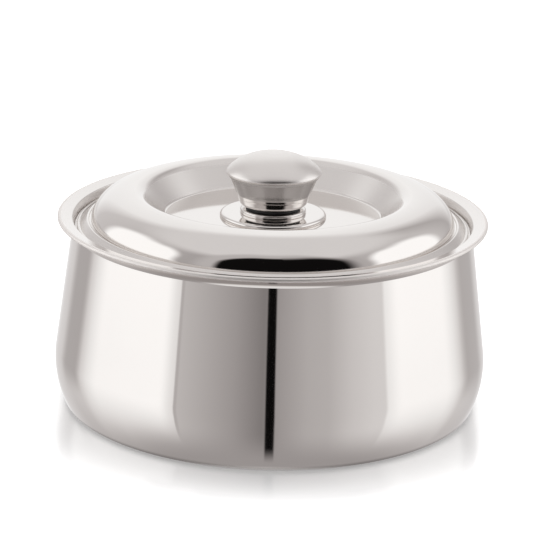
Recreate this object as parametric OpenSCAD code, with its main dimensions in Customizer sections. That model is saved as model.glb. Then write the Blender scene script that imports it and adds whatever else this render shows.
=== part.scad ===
// Insulated chapati casserole: a double-walled steel bowl that stands on a flat foot ring, and a
// lift-off insulated lid with a sunken centre and a round knob. Every piece is turned about the Z axis.
// The origin is the middle of the foot, on the table. Millimetres, +Z up.

/* [Body] */
// Diameter of the rolled rim, the widest size above the belly's shoulder
rim_d = 240; // [225:1:300]
// Height of the rolled rim's top above the table
rim_top_z = 106.9; // [95:0.1:140]
// Height of the widest part of the belly
belly_z = 24.3; // [20:0.1:32]
// How far the belly stands out past the rim, on the radius
belly_proud = 1.6; // [0:0.1:8]
// Radius of the belly's curve, seen from the side
belly_arc_r = 55; // [45:0.5:70]
// Radius of the small turn from the belly into the foot ring
foot_turn_r = 2.4; // [1.5:0.1:5]
// Width of the flat foot ring that meets the table
foot_ring_w = 13; // [6:0.5:20]
// How far the base inside the foot ring is pressed up
base_dish = 1.2; // [0.5:0.1:3]
// How far the neck is drawn in from the rim, on the radius
neck_in = 8.1; // [7.8:0.1:10]
// Height of the rim's top above the neck
neck_drop = 7.7; // [7.2:0.1:8.5]
// Thickness of the steel sheet of the body and the lid
sheet_t = 0.5; // [0.3:0.05:0.6]

/* [Rim] */
// Radius of the rolled edge
rim_roll_r = 1.2; // [1.1:0.05:1.5]
// Width of the rim's flange, from its inner edge to the rolled edge's outside
flange_w = 8.3; // [7.8:0.1:9]
// How far the flange slopes down from its rolled edge to its inner edge
flange_fall = 1.6; // [0.5:0.1:2.5]

/* [Bowl] */
// Depth of the ledge that carries the lid below the rim's top
ledge_depth = 6.9; // [5:0.1:7.2]
// Width of the ledge, from the wall above it to the bowl's mouth
ledge_w = 6.4; // [4:0.1:9]
// How far the bowl's wall draws in from its mouth to its floor, on the radius
bowl_taper = 4; // [0:0.5:10]
// Radius of the bowl's bottom corner
bowl_corner_r = 14; // [6:0.5:24]
// Height of the bowl's floor above the table
bowl_floor_z = 13; // [8:0.5:20]
// Diameter of the hole in the base through which the foam is poured
filler_hole_d = 16; // [8:0.5:30]
// Thickness of the head of the button that closes that hole
plug_head_t = 1.5; // [1:0.1:3]
// Width of that head outside the hole's edge
plug_lip = 2; // [1:0.1:4]

/* [Lid] */
// Gap between the lid's edge and the bowl's upper wall, on the radius
lid_gap = 1.1; // [0.6:0.1:1.6]
// Radius of the lid's raised ring at its crown
crown_r = 77.9; // [74:0.1:80]
// Height of the lid's crown above the ledge
crown_rise = 20.1; // [17:0.1:28]
// Height of the raised ring's outer edge above the ledge
ring_edge_rise = 1.95; // [1.8:0.05:2.6]
// Radius of the turn from the crown into the sunken centre
crown_turn_r = 9; // [5:0.5:11]
// Slope of the sunken centre's wall, in degrees from level
recess_slope = 48; // [42:1:62]
// Depth of the sunken centre below the crown
recess_depth = 14.7; // [10:0.1:15.5]
// Radius of the small turn from that wall into the sunken floor
recess_turn_r = 2; // [1:0.1:4]
// Radius of the small ridge around the raised ring
ridge_r = 0.9; // [0.8:0.05:1.1]
// How far that ridge's middle lies in from the lid's edge
ridge_in = 6; // [5:0.1:9]
// Width of the valley between the raised ring and that ridge
valley_w = 0.8; // [0.5:0.1:1]
// Depth of the lid's lower pan below the ledge
pan_depth = 10; // [6:0.5:16]
// Gap between the lid's lower pan and the bowl's wall, on the radius
pan_gap = 1.8; // [0.8:0.1:3]
// How far the pan's wall draws in towards its bottom, on the radius
pan_taper = 0.8; // [0:0.1:3]
// Radius of the lower pan's bottom corner
pan_corner_r = 4; // [2:0.5:8]
// Width of the crimp that holds the lid's two sheets together
crimp_w = 1.8; // [1.4:0.1:2.2]

/* [Knob] */
// Diameter of the round plate under the knob
plate_d = 59.5; // [50:0.5:70]
// Thickness of that plate
plate_t = 2.5; // [2.2:0.1:4]
// Radius of the plate's rounded upper edge
plate_edge_r = 1.9; // [0.8:0.1:2]
// Diameter of the collar on the plate
collar_d = 36.8; // [33:0.2:42]
// Height of the collar
collar_h = 2.5; // [2:0.1:5]
// Radius of the collar's rounded upper edge
collar_edge_r = 1.2; // [0.5:0.1:1.4]
// Diameter of the dark spacer between the collar and the cup
spacer_d = 30.4; // [24:0.2:31]
// Height of that spacer
spacer_h = 2; // [1:0.1:4]
// Diameter of the cup's bottom, measured as if its foot weren't rounded
cup_bottom_d = 37.2; // [36.6:0.2:38.4]
// Radius of the cup's rounded foot
cup_turn_r = 3; // [2:0.1:3.2]
// Diameter of the cup at its lower shoulder
cup_shoulder_d = 41; // [39.6:0.2:42]
// Height of the cup's lower shoulder above its bottom
cup_shoulder_h = 6.5; // [5.5:0.1:7.5]
// Diameter of the cup at the top of its plain wall
cup_top_d = 49; // [46:0.2:50]
// Height of the plain wall's top above the cup's bottom
cup_wall_top = 16; // [13:0.1:24]
// Height of the raised band at the cup's top
cup_band_h = 1.4; // [0.9:0.1:3]
// How far that band stands proud of the wall, on the radius
cup_band_proud = 0.6; // [0.3:0.05:1]
// How far the cap's rounded edge stands past that band, on the radius
cap_proud = 1.3; // [0.8:0.1:3]
// Height of the cap's rounded edge
cap_edge_h = 1.5; // [1:0.1:2.5]
// Rise of the cap's dome
cap_rise = 11; // [6:0.5:18]
// Width of the lips where cup and cap meet inside the knob
knob_lip_w = 2.4; // [1.6:0.1:4]
// Thickness of the knob's steel sheet
knob_sheet_t = 0.5; // [0.3:0.05:0.6]

/* [Fasteners] */
// Diameter of the threaded stud that holds the knob
stud_d = 6; // [4:0.5:8]
// How far the stud reaches up into the knob's core
stud_grip = 12; // [8:0.5:14]
// How far the stud shows below its nut
stud_tail = 1.5; // [0.5:0.1:2]
// Width of the nut across its flats
nut_af = 10; // [9.5:0.5:13]
// Height of the nut
nut_h = 5; // [3:0.1:5.5]
// Diameter of the wide washer under the lid's sunken floor
backing_d = 24; // [18:0.5:30]
// Thickness of the wide washer
backing_t = 1.2; // [0.8:0.1:1.4]
// Outer diameter of the split spring washer
spring_washer_d = 11; // [10:0.5:14]
// Thickness of the split spring washer
spring_washer_t = 1.6; // [1:0.1:1.8]
// Gap in the split spring washer
spring_washer_split = 1.4; // [0.8:0.1:2]

/* [Fits] */
// Room between foam and sheet, and inside folded and crimped edges
seam_gap = 0.1; // [0.05:0.05:0.15]
// Room around the stud in the holes it passes through, on the radius
stud_gap = 0.25; // [0.1:0.05:0.5]
// Room between the stud and what is threaded or moulded on it, on the radius
thread_gap = 0.05; // [0.03:0.01:0.1]

/* [Hidden] */
$fn = 96;

arc_step = 6;              // degrees between two points of an arc
steel = [0.78, 0.77, 0.76];
satin_steel = [0.84, 0.83, 0.82];
dark_steel = [0.55, 0.54, 0.53];
foam_colour = [0.93, 0.87, 0.62];
black_plastic = [0.07, 0.07, 0.07];
zinc = [0.62, 0.64, 0.66];

// ---- Paths ------------------------------------------------------------------------------------
// Each turned piece is an outline of [radius, height] points. Sheet pieces follow one face of the
// sheet as an open path.

// Points of an arc about c, from angle a0 to angle a1, both ends included.
function arc(c, r, a0, a1) =
    let (n = max(2, ceil(abs(a1 - a0) / arc_step)))
    [for (i = [0:n]) let (a = a0 + (a1 - a0) * i / n) c + r * [cos(a), sin(a)]];

function unit(v) = v / norm(v);
function left_of(v) = [-v[1], v[0]];
function reversed(path) = [for (i = [len(path) - 1:-1:0]) path[i]];

// The path without the points that repeat the one before them, as where two arcs meet.
same_point = 0.0001;
function distinct(path) =
    [for (i = [0:len(path) - 1]) if (i == 0 || norm(path[i] - path[max(0, i - 1)]) > same_point) path[i]];

// The path moved sideways by d, to its left when d is positive, with its corners mitred and its
// points kept off the far side of the axis.
function beside(given, d) =
    let (path = distinct(given), last = len(path) - 1)
    [for (i = [0:last])
        let (before = max(0, i - 1), after = min(last - 1, i),
             a = left_of(unit(path[before + 1] - path[before])),
             b = left_of(unit(path[after + 1] - path[after])),
             p = path[i] + d * (a + b) / (1 + a * b))
        [max(0, p[0]), p[1]]];

// Outline of a sheet of thickness t on the left of the path, or on its right when t is negative.
function sheet(path, t) = concat(distinct(path), reversed(beside(path, t)));

// Arc of radius r that rounds the corner b between a and c.
function rounded(a, b, c, r) =
    let (u = unit(a - b), v = unit(c - b), half = acos(u * v) / 2,
         centre = b + unit(u + v) * r / sin(half),
         from = b + u * r / tan(half) - centre, to = b + v * r / tan(half) - centre,
         a0 = atan2(from[1], from[0]), turn = atan2(to[1], to[0]) - a0)
    arc(centre, r, a0, a0 + (turn > 180 ? turn - 360 : turn < -180 ? turn + 360 : turn));

module turned(outline) { rotate_extrude() polygon(outline); }

// ---- Body -------------------------------------------------------------------------------------

rim_r = rim_d / 2;
belly_r = rim_r + belly_proud;
neck = [rim_r - neck_in, rim_top_z - neck_drop];
roll_centre = [rim_r - rim_roll_r, rim_top_z - rim_roll_r];
filler_r = filler_hole_d / 2;

belly_centre = [belly_r - belly_arc_r, belly_z];
to_neck = neck - belly_centre;
wall_angle = atan2(to_neck[1], to_neck[0]) - acos(belly_arc_r / norm(to_neck));
foot_turn_centre = [belly_centre[0] + sqrt(pow(belly_arc_r - foot_turn_r, 2)
    - pow(belly_z - foot_turn_r, 2)), foot_turn_r];
foot_turn_angle = atan2(foot_turn_r - belly_z, foot_turn_centre[0] - belly_centre[0]);
foot_inner_r = foot_turn_centre[0] - foot_ring_w;

// The neck flares out in a hollow curve to the rolled rim.
flare_turn = 37;           // degrees that the flare turns through on its way out
flare_end = 62;            // degrees from upright at the rolled rim
flare_tip = roll_centre + sheet_t / 2 * [cos(flare_end), -sin(flare_end)];
flare_chord = flare_tip - neck;
flare_r = norm(flare_chord) / (2 * sin(flare_turn / 2));
flare_start = atan2(flare_chord[0], flare_chord[1]) - flare_turn / 2;
flare_centre = neck + flare_r * [cos(flare_start), -sin(flare_start)];

// Outside of the body, from the filler hole in its base up to the neck.
function shell_wall() = concat(
    [[filler_r, base_dish], [foot_inner_r - base_dish, base_dish], [foot_inner_r, 0]],
    arc(foot_turn_centre, foot_turn_r, -90, foot_turn_angle),
    arc(belly_centre, belly_arc_r, foot_turn_angle, wall_angle));

function shell_path() = concat(shell_wall(),
    arc(flare_centre, flare_r, 180 - flare_start, 180 - flare_start - flare_turn));

module outer_shell() {
    color(steel) turned(sheet(shell_path(), sheet_t));
}

// Button that closes the filler hole, with its wide head inside the base.
plug_r = filler_r - seam_gap;
plug_head_z = base_dish + sheet_t;
module base_plug() {
    chamfer = 0.5;
    color(black_plastic) turned([
        [0, base_dish - chamfer], [plug_r - chamfer, base_dish - chamfer], [plug_r, base_dish],
        [plug_r, plug_head_z + seam_gap], [plug_r + plug_lip, plug_head_z + seam_gap],
        [plug_r + plug_lip, plug_head_z + plug_head_t - chamfer],
        [plug_r + plug_lip - chamfer, plug_head_z + plug_head_t], [0, plug_head_z + plug_head_t]]);
}

ledge_z = rim_top_z - ledge_depth;
flange_inner = [rim_r - flange_w, rim_top_z - flange_fall];
upper_wall_lean = 1.3;     // how far the wall above the ledge draws in downwards
ledge_outer = [flange_inner[0] - upper_wall_lean, ledge_z];
bowl_mouth = ledge_outer - [ledge_w, 0];
bowl_floor_r = bowl_mouth[0] - bowl_taper;
flange_angle = atan2(flange_fall, roll_centre[0] - flange_inner[0]);
flange_way = [cos(flange_angle), sin(flange_angle)];
roll_end = -95;            // degrees round the rolled rim at which the bowl's sheet ends
mouth_bend_r = 0.8;        // radius of the bends at the bowl's mouth and at the flange's inner edge
ledge_bend_r = 0.6;        // radius of the bend from the ledge into the upper wall

// Inside of the bowl, from the middle of its floor out to the ledge.
function bowl_wall() = concat(
    [[0, bowl_floor_z]],
    rounded([0, bowl_floor_z], [bowl_floor_r, bowl_floor_z], bowl_mouth, bowl_corner_r),
    rounded([bowl_floor_r, bowl_floor_z], bowl_mouth, ledge_outer, mouth_bend_r));

function bowl_path() = concat(bowl_wall(),
    rounded(bowl_mouth, ledge_outer, flange_inner, ledge_bend_r),
    rounded(ledge_outer, flange_inner, flange_inner + flange_way, mouth_bend_r),
    arc(roll_centre, rim_roll_r, 90 + flange_angle, roll_end));

module inner_bowl() {
    color(steel) turned(sheet(bowl_path(), -sheet_t));
}

// Foam that fills the body between its two sheets, up to the underside of the ledge.
module body_foam() {
    foam_top = ledge_z - sheet_t - 2 * seam_gap;
    above = 2 * rim_top_z; // clear above the whole body
    plug_room = [plug_r + plug_lip + seam_gap, plug_head_z + plug_head_t + seam_gap];
    color(foam_colour) rotate_extrude() difference() {
        intersection() {
            polygon(concat([[0, base_dish + sheet_t + seam_gap]],
                beside(concat(shell_wall(), [neck]), sheet_t + seam_gap), [[0, neck[1]]]));
            square([2 * belly_r, foam_top]);
        }
        polygon(concat(beside(bowl_wall(), -sheet_t - seam_gap),
            [ledge_outer, [ledge_outer[0], above], [0, above]]));
        square(plug_room);
    }
}

// ---- Lid --------------------------------------------------------------------------------------

stud_r = stud_d / 2;
stud_hole_r = stud_r + stud_gap;
lid_r = ledge_outer[0] - lid_gap;
crown_z = ledge_z + crown_rise;
recess_z = crown_z - recess_depth;
recess_wall_top = [crown_r - crown_turn_r * sin(recess_slope),
    crown_z - crown_turn_r * (1 - cos(recess_slope))];
recess_corner = [recess_wall_top[0] - (recess_wall_top[1] - recess_z) / tan(recess_slope), recess_z];

// The raised ring's outer side is a quarter of an oval.
ring_centre = [crown_r, ledge_z + ring_edge_rise];
ring_rise = crown_rise - ring_edge_rise;
ring_foot_angle = 4;       // degrees of the oval that the valley beside the ridge cuts off
ring_foot = [lid_r - ridge_in - ridge_r - valley_w, ring_centre[1] + ring_rise * sin(ring_foot_angle)];
ring_outer_w = (ring_foot[0] - crown_r) / cos(ring_foot_angle);
ridge_lift = 0.1;          // height of the ridge's centre above the foot of the raised ring
ridge_centre = ring_foot + [valley_w + ridge_r, ridge_lift];

// The edges of the cover and the liner are folded together in a crimp that rests on the ledge.
crimp_r = (3 * sheet_t + 2 * seam_gap) / 2;
crimp_centre = [lid_r - crimp_r, ledge_z + crimp_r];
crimp_lip_w = 0.6;         // how far the liner's edge laps over the cover's edge past the fold
cover_edge = [crimp_centre[0], ledge_z + 2 * sheet_t + seam_gap];
skirt_foot = [lid_r - crimp_w, cover_edge[1]];
to_skirt_foot = skirt_foot - ridge_centre;
skirt_angle = atan2(to_skirt_foot[1], to_skirt_foot[0]) + acos(ridge_r / norm(to_skirt_foot));

// Top of the lid, from the stud's hole over the crown to the foot of the raised ring.
function cover_dome() = concat(
    [[stud_hole_r, recess_z]],
    rounded([0, recess_z], recess_corner, recess_wall_top, recess_turn_r),
    arc([crown_r, crown_z - crown_turn_r], crown_turn_r, 90 + recess_slope, 90),
    let (n = ceil((90 - ring_foot_angle) / arc_step))
    [for (i = [1:n]) let (a = 90 - (90 - ring_foot_angle) * i / n)
        ring_centre + [ring_outer_w * cos(a), ring_rise * sin(a)]]);

function cover_path() = concat(cover_dome(),
    arc(ridge_centre, ridge_r, 180, skirt_angle), [skirt_foot, cover_edge]);

module lid_cover() {
    color(steel) turned(sheet(cover_path(), -sheet_t));
}

pan_r = bowl_mouth[0] - pan_gap;
pan_z = ledge_z - pan_depth;
pan_bend_r = 0.4;          // radius of the bend from the pan's wall into its flange

// Underside of the lid, from the middle of the pan up to the flange.
function pan_path() = concat(
    [[0, pan_z]],
    rounded([0, pan_z], [pan_r - pan_taper, pan_z], [pan_r, ledge_z], pan_corner_r),
    rounded([pan_r - pan_taper, pan_z], [pan_r, ledge_z], [lid_r, ledge_z], pan_bend_r));

module lid_liner() {
    crimp_lip = [[crimp_centre[0] - crimp_lip_w, crimp_centre[1] + crimp_r]];
    color(steel) turned(sheet(concat(pan_path(), arc(crimp_centre, crimp_r, -90, 90), crimp_lip),
        sheet_t));
}

// Foam that fills the lid, moulded round the knob's fastening.
module lid_foam() {
    skin = sheet_t + seam_gap;
    pan = beside(pan_path(), skin);
    dome = beside(cover_dome(), -skin);
    color(foam_colour) rotate_extrude() difference() {
        intersection() {
            polygon(concat([[0, recess_z - skin]], dome, [[dome[len(dome) - 1][0], 0], [0, 0]]));
            polygon(concat([for (p = pan) if (p[1] < ledge_z) p],
                [[pan_r - skin, ledge_z], [pan_r - skin, crown_z], [0, crown_z]]));
        }
        fastening_room();
    }
}

// ---- Knob -------------------------------------------------------------------------------------

plate_r = plate_d / 2;
collar_r = collar_d / 2;
spacer_r = spacer_d / 2;
collar_z = recess_z + plate_t;
spacer_z = collar_z + collar_h;
cup_z = spacer_z + spacer_h;
cup_bottom = [cup_bottom_d / 2, cup_z];
cup_shoulder = [cup_shoulder_d / 2, cup_z + cup_shoulder_h];
cup_top = [cup_top_d / 2, cup_z + cup_wall_top];
band_r = cup_top[0] + cup_band_proud;
lip_z = cup_top[1] + cup_band_h;
lip_inner_r = band_r - knob_lip_w;
cap_z = lip_z + seam_gap;
cap_r = band_r + cap_proud;
cap_edge_r = cap_edge_h / 1.5;
dome_z = cap_z + cap_edge_h;
edge_chamfer = 0.3;        // chamfer round the foot of the plate, the collar and the spacer
spacer_edge_r = 0.2;

// Ring between the stud's hole and an outer edge that is rounded above.
function rounded_disc(r, z, h, edge_r) = concat(
    [[stud_hole_r, z], [r - edge_chamfer, z], [r, z + edge_chamfer]],
    rounded([r, z], [r, z + h], [0, z + h], edge_r), [[stud_hole_r, z + h]]);

module knob_plate() {
    color(steel) turned(rounded_disc(plate_r, recess_z, plate_t, plate_edge_r));
}

module knob_collar() {
    color(steel) turned(rounded_disc(collar_r, collar_z, collar_h, collar_edge_r));
}

module knob_spacer() {
    color(black_plastic) turned(rounded_disc(spacer_r, spacer_z, spacer_h, spacer_edge_r));
}

// The cup stands on a rounded foot. Above it a steep band runs up to a shoulder, where the tapered
// wall begins.
function cup_wall() = concat(
    [[stud_hole_r, cup_z]],
    rounded([0, cup_z], cup_bottom, cup_shoulder, cup_turn_r),
    [cup_shoulder, cup_top, [band_r, cup_top[1] + cup_band_proud / 2], [band_r, lip_z]]);

module knob_cup() {
    color(dark_steel) turned(sheet(concat(cup_wall(), [[lip_inner_r, lip_z]]), knob_sheet_t));
}

// Rise of the dome at a share s of its radius. A circle has a fullness and a shoulder of 2 each:
// a larger fullness flattens the dome's middle, and a smaller shoulder lets its edge fall sooner.
dome_fullness = 2.2;
dome_shoulder = 1.3;
function dome_rise(s) = cap_rise * pow(1 - pow(s, dome_fullness), 1 / dome_shoulder);

function cap_path() = concat(
    [[lip_inner_r, cap_z]],
    rounded([0, cap_z], [cap_r, cap_z], [cap_r, dome_z], cap_edge_r),
    [for (a = [0:arc_step:90]) let (s = cos(a)) [cap_r * s, dome_z + dome_rise(s)]]);

module knob_cap() {
    color(satin_steel) turned(sheet(cap_path(), knob_sheet_t));
}

// Moulded core that fills the cup and the cap and grips the stud.
module knob_core() {
    skin = knob_sheet_t + seam_gap;
    neck_r = lip_inner_r - seam_gap;
    cup = [for (p = beside(cup_wall(), skin)) if (p[1] < lip_z - skin) p];
    cap = [for (p = beside(cap_path(), skin)) if (p[1] > dome_z) p];
    color(black_plastic) turned(concat(
        [[stud_r + thread_gap, cup_z + skin]], [for (i = [1:len(cup) - 1]) cup[i]],
        [[cup[len(cup) - 1][0], lip_z - skin], [neck_r, lip_z - skin], [neck_r, cap_z + skin],
            [cap[0][0], cap_z + skin]], cap,
        [[0, stud_top], [stud_r + thread_gap, stud_top]]));
}

// ---- Fastening --------------------------------------------------------------------------------

backing_z = recess_z - sheet_t - backing_t;
spring_washer_z = backing_z - spring_washer_t;
nut_z = spring_washer_z - nut_h;
stud_foot = nut_z - stud_tail;
stud_top = cup_z + stud_grip;
nut_corner_r = nut_af / 2 / cos(30);
cut_past = 1;              // how far a cut reaches past each face that it opens

// Space in the lid's foam for the washers, the nut and the stud's end.
module fastening_room() {
    room = 2 * seam_gap;
    translate([0, backing_z - room]) square([backing_d / 2 + room, recess_z]);
    translate([0, nut_z - room]) square([max(nut_corner_r, spring_washer_d / 2) + room, recess_z]);
    translate([0, stud_foot - room]) square([stud_r + room, recess_z]);
}

module knob_stud() {
    chamfer = 0.6;
    color(zinc) turned([[0, stud_foot], [stud_r - chamfer, stud_foot], [stud_r, stud_foot + chamfer],
        [stud_r, stud_top - thread_gap], [0, stud_top - thread_gap]]);
}

module washer(z, r, t) {
    turned([[stud_hole_r, z], [r, z], [r, z + t], [stud_hole_r, z + t]]);
}

module backing_washer() {
    color(zinc) washer(backing_z, backing_d / 2, backing_t);
}

module spring_washer() {
    color(zinc) difference() {
        washer(spring_washer_z, spring_washer_d / 2, spring_washer_t);
        translate([0, -spring_washer_split / 2, spring_washer_z - cut_past])
            cube([spring_washer_d, spring_washer_split, spring_washer_t + 2 * cut_past]);
    }
}

module knob_nut() {
    color(zinc) translate([0, 0, nut_z]) difference() {
        cylinder(h = nut_h, r = nut_corner_r, $fn = 6);
        translate([0, 0, -cut_past]) cylinder(h = nut_h + 2 * cut_past, r = stud_r + thread_gap);
    }
}

outer_shell();
base_plug();
inner_bowl();
body_foam();
lid_cover();
lid_liner();
lid_foam();
knob_plate();
knob_collar();
knob_spacer();
knob_cup();
knob_cap();
knob_core();
knob_stud();
backing_washer();
spring_washer();
knob_nut();
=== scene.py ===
"""Dresses the insulated chapati casserole and sets up its studio.

Mirror-polished sheet shows every facet, so each visible turned piece is made again here as a smooth
mesh, from the same sizes and curves as its solid, and stands for it. The pieces that stay hidden
inside keep their solids and get their own finishes. Sizes are in metres unless it is said
otherwise, angles in degrees.
"""

import logging
import math
from dataclasses import dataclass, field
from enum import Enum
from functools import cache

import bmesh
import bpy
from mathutils import Matrix, Vector


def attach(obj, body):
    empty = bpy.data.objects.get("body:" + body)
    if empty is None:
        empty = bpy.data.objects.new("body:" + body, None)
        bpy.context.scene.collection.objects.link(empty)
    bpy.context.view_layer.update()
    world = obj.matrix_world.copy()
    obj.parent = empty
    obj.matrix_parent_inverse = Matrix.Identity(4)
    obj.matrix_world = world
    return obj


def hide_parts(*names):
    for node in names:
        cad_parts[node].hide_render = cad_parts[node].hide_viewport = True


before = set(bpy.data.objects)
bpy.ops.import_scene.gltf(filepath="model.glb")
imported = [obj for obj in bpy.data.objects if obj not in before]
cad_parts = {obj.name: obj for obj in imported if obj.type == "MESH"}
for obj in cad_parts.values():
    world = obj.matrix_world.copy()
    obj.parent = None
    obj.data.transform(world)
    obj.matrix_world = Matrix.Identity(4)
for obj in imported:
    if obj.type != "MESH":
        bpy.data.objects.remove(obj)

LOG = logging.getLogger("casserole")
MM = 0.001
ARC_STEP = 2.0
TURN_SEGMENTS = 288
CREASE_ANGLE = 33.0
WELD_DISTANCE = 0.0005 * MM
SAME_POINT = 0.0001 * MM
BRACE_INSET = 0.15 * MM
BRACE_LEAST = 3.0 * MM
STEEL_TINT = (1.0, 0.9645, 0.939)

Path = list[Vector]
Socket = bpy.types.NodeSocket
Value = Socket | float | tuple
Outputs = bpy.types.bpy_prop_collection
Colour = tuple[float, float, float]


class Body(Enum):
    """The two rigid bodies of the casserole."""

    BASE = "base"
    LID = "lid"


class Slot(Enum):
    """The record's material slots, one listed with each turned piece."""

    POLISHED = "polished_steel"
    BOWL = "bowl_steel"
    KNOB = "knob_steel"
    SATIN = "satin_steel"
    PLASTIC = "black_plastic"


# ---- Outlines ----


def polar(angle: float) -> Vector:
    """Unit vector at an angle from the radius, towards the height."""
    return Vector((math.cos(math.radians(angle)), math.sin(math.radians(angle))))


def left_of(direction: Vector) -> Vector:
    """The direction turned a quarter turn to its left."""
    return Vector((-direction.y, direction.x))


def point(radius: float, height: float) -> Vector:
    """A point of an outline."""
    return Vector((radius, height))


def arc(centre: Vector, radius: float, start: float, end: float) -> Path:
    """Points of an arc, both ends included.

    Args:
        centre: Centre of the arc.
        radius: Radius of the arc.
        start: Angle of its first point.
        end: Angle of its last point.

    Returns:
        The points in order.
    """
    steps = max(3, math.ceil(abs(end - start) / ARC_STEP))
    return [centre + radius * polar(start + (end - start) * i / steps) for i in range(steps + 1)]


def rounded(before: Vector, corner: Vector, after: Vector, radius: float) -> Path:
    """Arc that rounds a corner.

    Args:
        before: A point on the straight stretch that reaches the corner.
        corner: The sharp corner.
        after: A point on the straight stretch that leaves it.
        radius: Radius of the rounding.

    Returns:
        The points of the arc, from the first stretch to the second.
    """
    back = (before - corner).normalized()
    on = (after - corner).normalized()
    half = math.acos(max(-1.0, min(1.0, back.dot(on)))) / 2
    centre = corner + (back + on).normalized() * radius / math.sin(half)
    first = corner + back * radius / math.tan(half) - centre
    last = corner + on * radius / math.tan(half) - centre
    start = math.degrees(math.atan2(first.y, first.x))
    turn = math.degrees(math.atan2(last.y, last.x)) - start
    turn = (turn + 180.0) % 360.0 - 180.0
    return arc(centre, radius, start, start + turn)


def distinct(path: Path) -> Path:
    """The path without the points that repeat the one before them, as where two arcs meet."""
    return [here for i, here in enumerate(path)
            if i == 0 or (here - path[i - 1]).length > SAME_POINT]


def beside(path: Path, distance: float) -> Path:
    """The path moved sideways, with mitred corners.

    Args:
        path: The path to move, with no repeated points.
        distance: How far it moves to its left, or to its right when negative.

    Returns:
        As many points as the path has, none beyond the axis.
    """
    moved = []
    for i, here in enumerate(path):
        into = max(0, i - 1)
        out = min(len(path) - 2, i)
        a = left_of((path[into + 1] - path[into]).normalized())
        b = left_of((path[out + 1] - path[out]).normalized())
        shifted = here + distance * (a + b) / (1 + a.dot(b))
        moved.append(point(max(0.0, shifted.x), shifted.y))
    return moved


def sheet(path: Path, thickness: float) -> Path:
    """Outline of a sheet on the left of a path, or on its right when the thickness is negative."""
    face = distinct(path)
    return face + beside(face, thickness)[::-1]


def braced(outline: Path) -> Path:
    """Adds a point near each end of every long straight stretch, so that its shading stays straight.

    Args:
        outline: The outline to brace.

    Returns:
        The same shape with more points.
    """
    points = [outline[0]]
    for here, there in zip(outline, outline[1:]):
        step = there - here
        if step.length > BRACE_LEAST:
            inset = step.normalized() * BRACE_INSET
            points += [here + inset, there - inset]
        points.append(there)
    return points


# ---- Node trees ----


@dataclass
class Tree:
    """Adds nodes to one node tree and joins them."""

    tree: bpy.types.NodeTree

    def add(self, kind: str, inputs: dict[str | int, Value] | None = None,
            **settings: object) -> Outputs:
        """Adds a node.

        Args:
            kind: The node's type.
            inputs: What each input is linked or set to, by its name or place.
            settings: The node's properties.

        Returns:
            The node's outputs.
        """
        node = self.tree.nodes.new(kind)
        for name, setting in settings.items():
            setattr(node, name, setting)
        self.fill(node, inputs or {})
        return node.outputs

    def fill(self, node: bpy.types.Node, inputs: dict[str | int, Value]) -> None:
        """Links a node's inputs to outputs, or sets them to constants.

        Args:
            node: The node.
            inputs: What each input is linked or set to, by its name or place.
        """
        for key, value in inputs.items():
            if isinstance(value, bpy.types.NodeSocket):
                self.tree.links.new(value, node.inputs[key])
            else:
                node.inputs[key].default_value = value

    def math(self, operation: str, *values: Value, clamp: bool = False) -> Socket:
        """Result of a Math node, held between 0 and 1 if clamp is set."""
        return self.add("ShaderNodeMath", dict(enumerate(values)), operation=operation,
                        use_clamp=clamp)[0]

    def spread(self, value: Value, low: Value, high: Value, start: Value = 0.0,
               end: Value = 1.0) -> Socket:
        """A value mapped smoothly, so that it is start at low and end at high."""
        return self.add("ShaderNodeMapRange", {
            "Value": value, "From Min": low, "From Max": high, "To Min": start, "To Max": end},
            interpolation_type="SMOOTHSTEP")["Result"]

    def mix(self, share: Value, first: Value, second: Value) -> Socket:
        """Mixes two values by the share of the second."""
        return self.math("MULTIPLY_ADD", share, self.math("SUBTRACT", second, first), first)

    def mixed_colour(self, share: Value, first: Value, second: Value) -> Socket:
        """Mixes two colours by the share of the second.

        Args:
            share: That share, from 0 to 1.
            first: A colour, as an output or as its red, green and blue.
            second: The other colour.

        Returns:
            The mixed colour.
        """
        colours = [(*colour, 1.0) if isinstance(colour, tuple) else colour
                   for colour in (first, second)]
        return self.add("ShaderNodeMix", {"Factor": share, 6: colours[0], 7: colours[1]},
                        data_type="RGBA")[2]

    def length(self, across: Value, along: Value) -> Socket:
        """Length of a line from its reach in two directions."""
        return self.math("SQRT", self.math("ADD", self.math("POWER", across, 2.0),
                                           self.math("POWER", along, 2.0)))

    def parts(self, vector: Value) -> Outputs:
        """The X, Y and Z of a vector."""
        return self.add("ShaderNodeSeparateXYZ", {"Vector": vector})

    def vector(self, x: Value, y: Value, z: Value = 0.0) -> Socket:
        """A vector from its parts."""
        return self.add("ShaderNodeCombineXYZ", {"X": x, "Y": y, "Z": z})["Vector"]

    def place(self) -> Socket:
        """The place on a piece, in the piece's own coordinates."""
        return self.add("ShaderNodeTexCoord")["Object"]

    def noise(self, where: Value, scale: Value, detail: float, roughness: float = 0.5) -> Socket:
        """Noise from 0 to 1, of so many waves a metre and so many octaves."""
        return self.add("ShaderNodeTexNoise", {
            "Vector": where, "Scale": scale, "Detail": detail, "Roughness": roughness})["Fac"]

    def group(self, tree: bpy.types.NodeTree, *values: Value) -> Outputs:
        """Places a shader node group, with values for its inputs in order."""
        return self.add("ShaderNodeGroup", dict(enumerate(values)), node_tree=tree)


def new_group(name: str, kind: str, inputs: dict[str, str], outputs: dict[str, str]) -> Tree:
    """Makes an empty node group.

    Args:
        name: The group's name.
        kind: "ShaderNodeTree" or "GeometryNodeTree".
        inputs: Socket type of each input by its name.
        outputs: Socket type of each output by its name.

    Returns:
        The group's tree, ready for nodes.
    """
    tree = bpy.data.node_groups.new(name, kind)
    for in_out, sockets in (("INPUT", inputs), ("OUTPUT", outputs)):
        for socket_name, socket_type in sockets.items():
            tree.interface.new_socket(socket_name, in_out=in_out, socket_type=socket_type)
    return Tree(tree)


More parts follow.
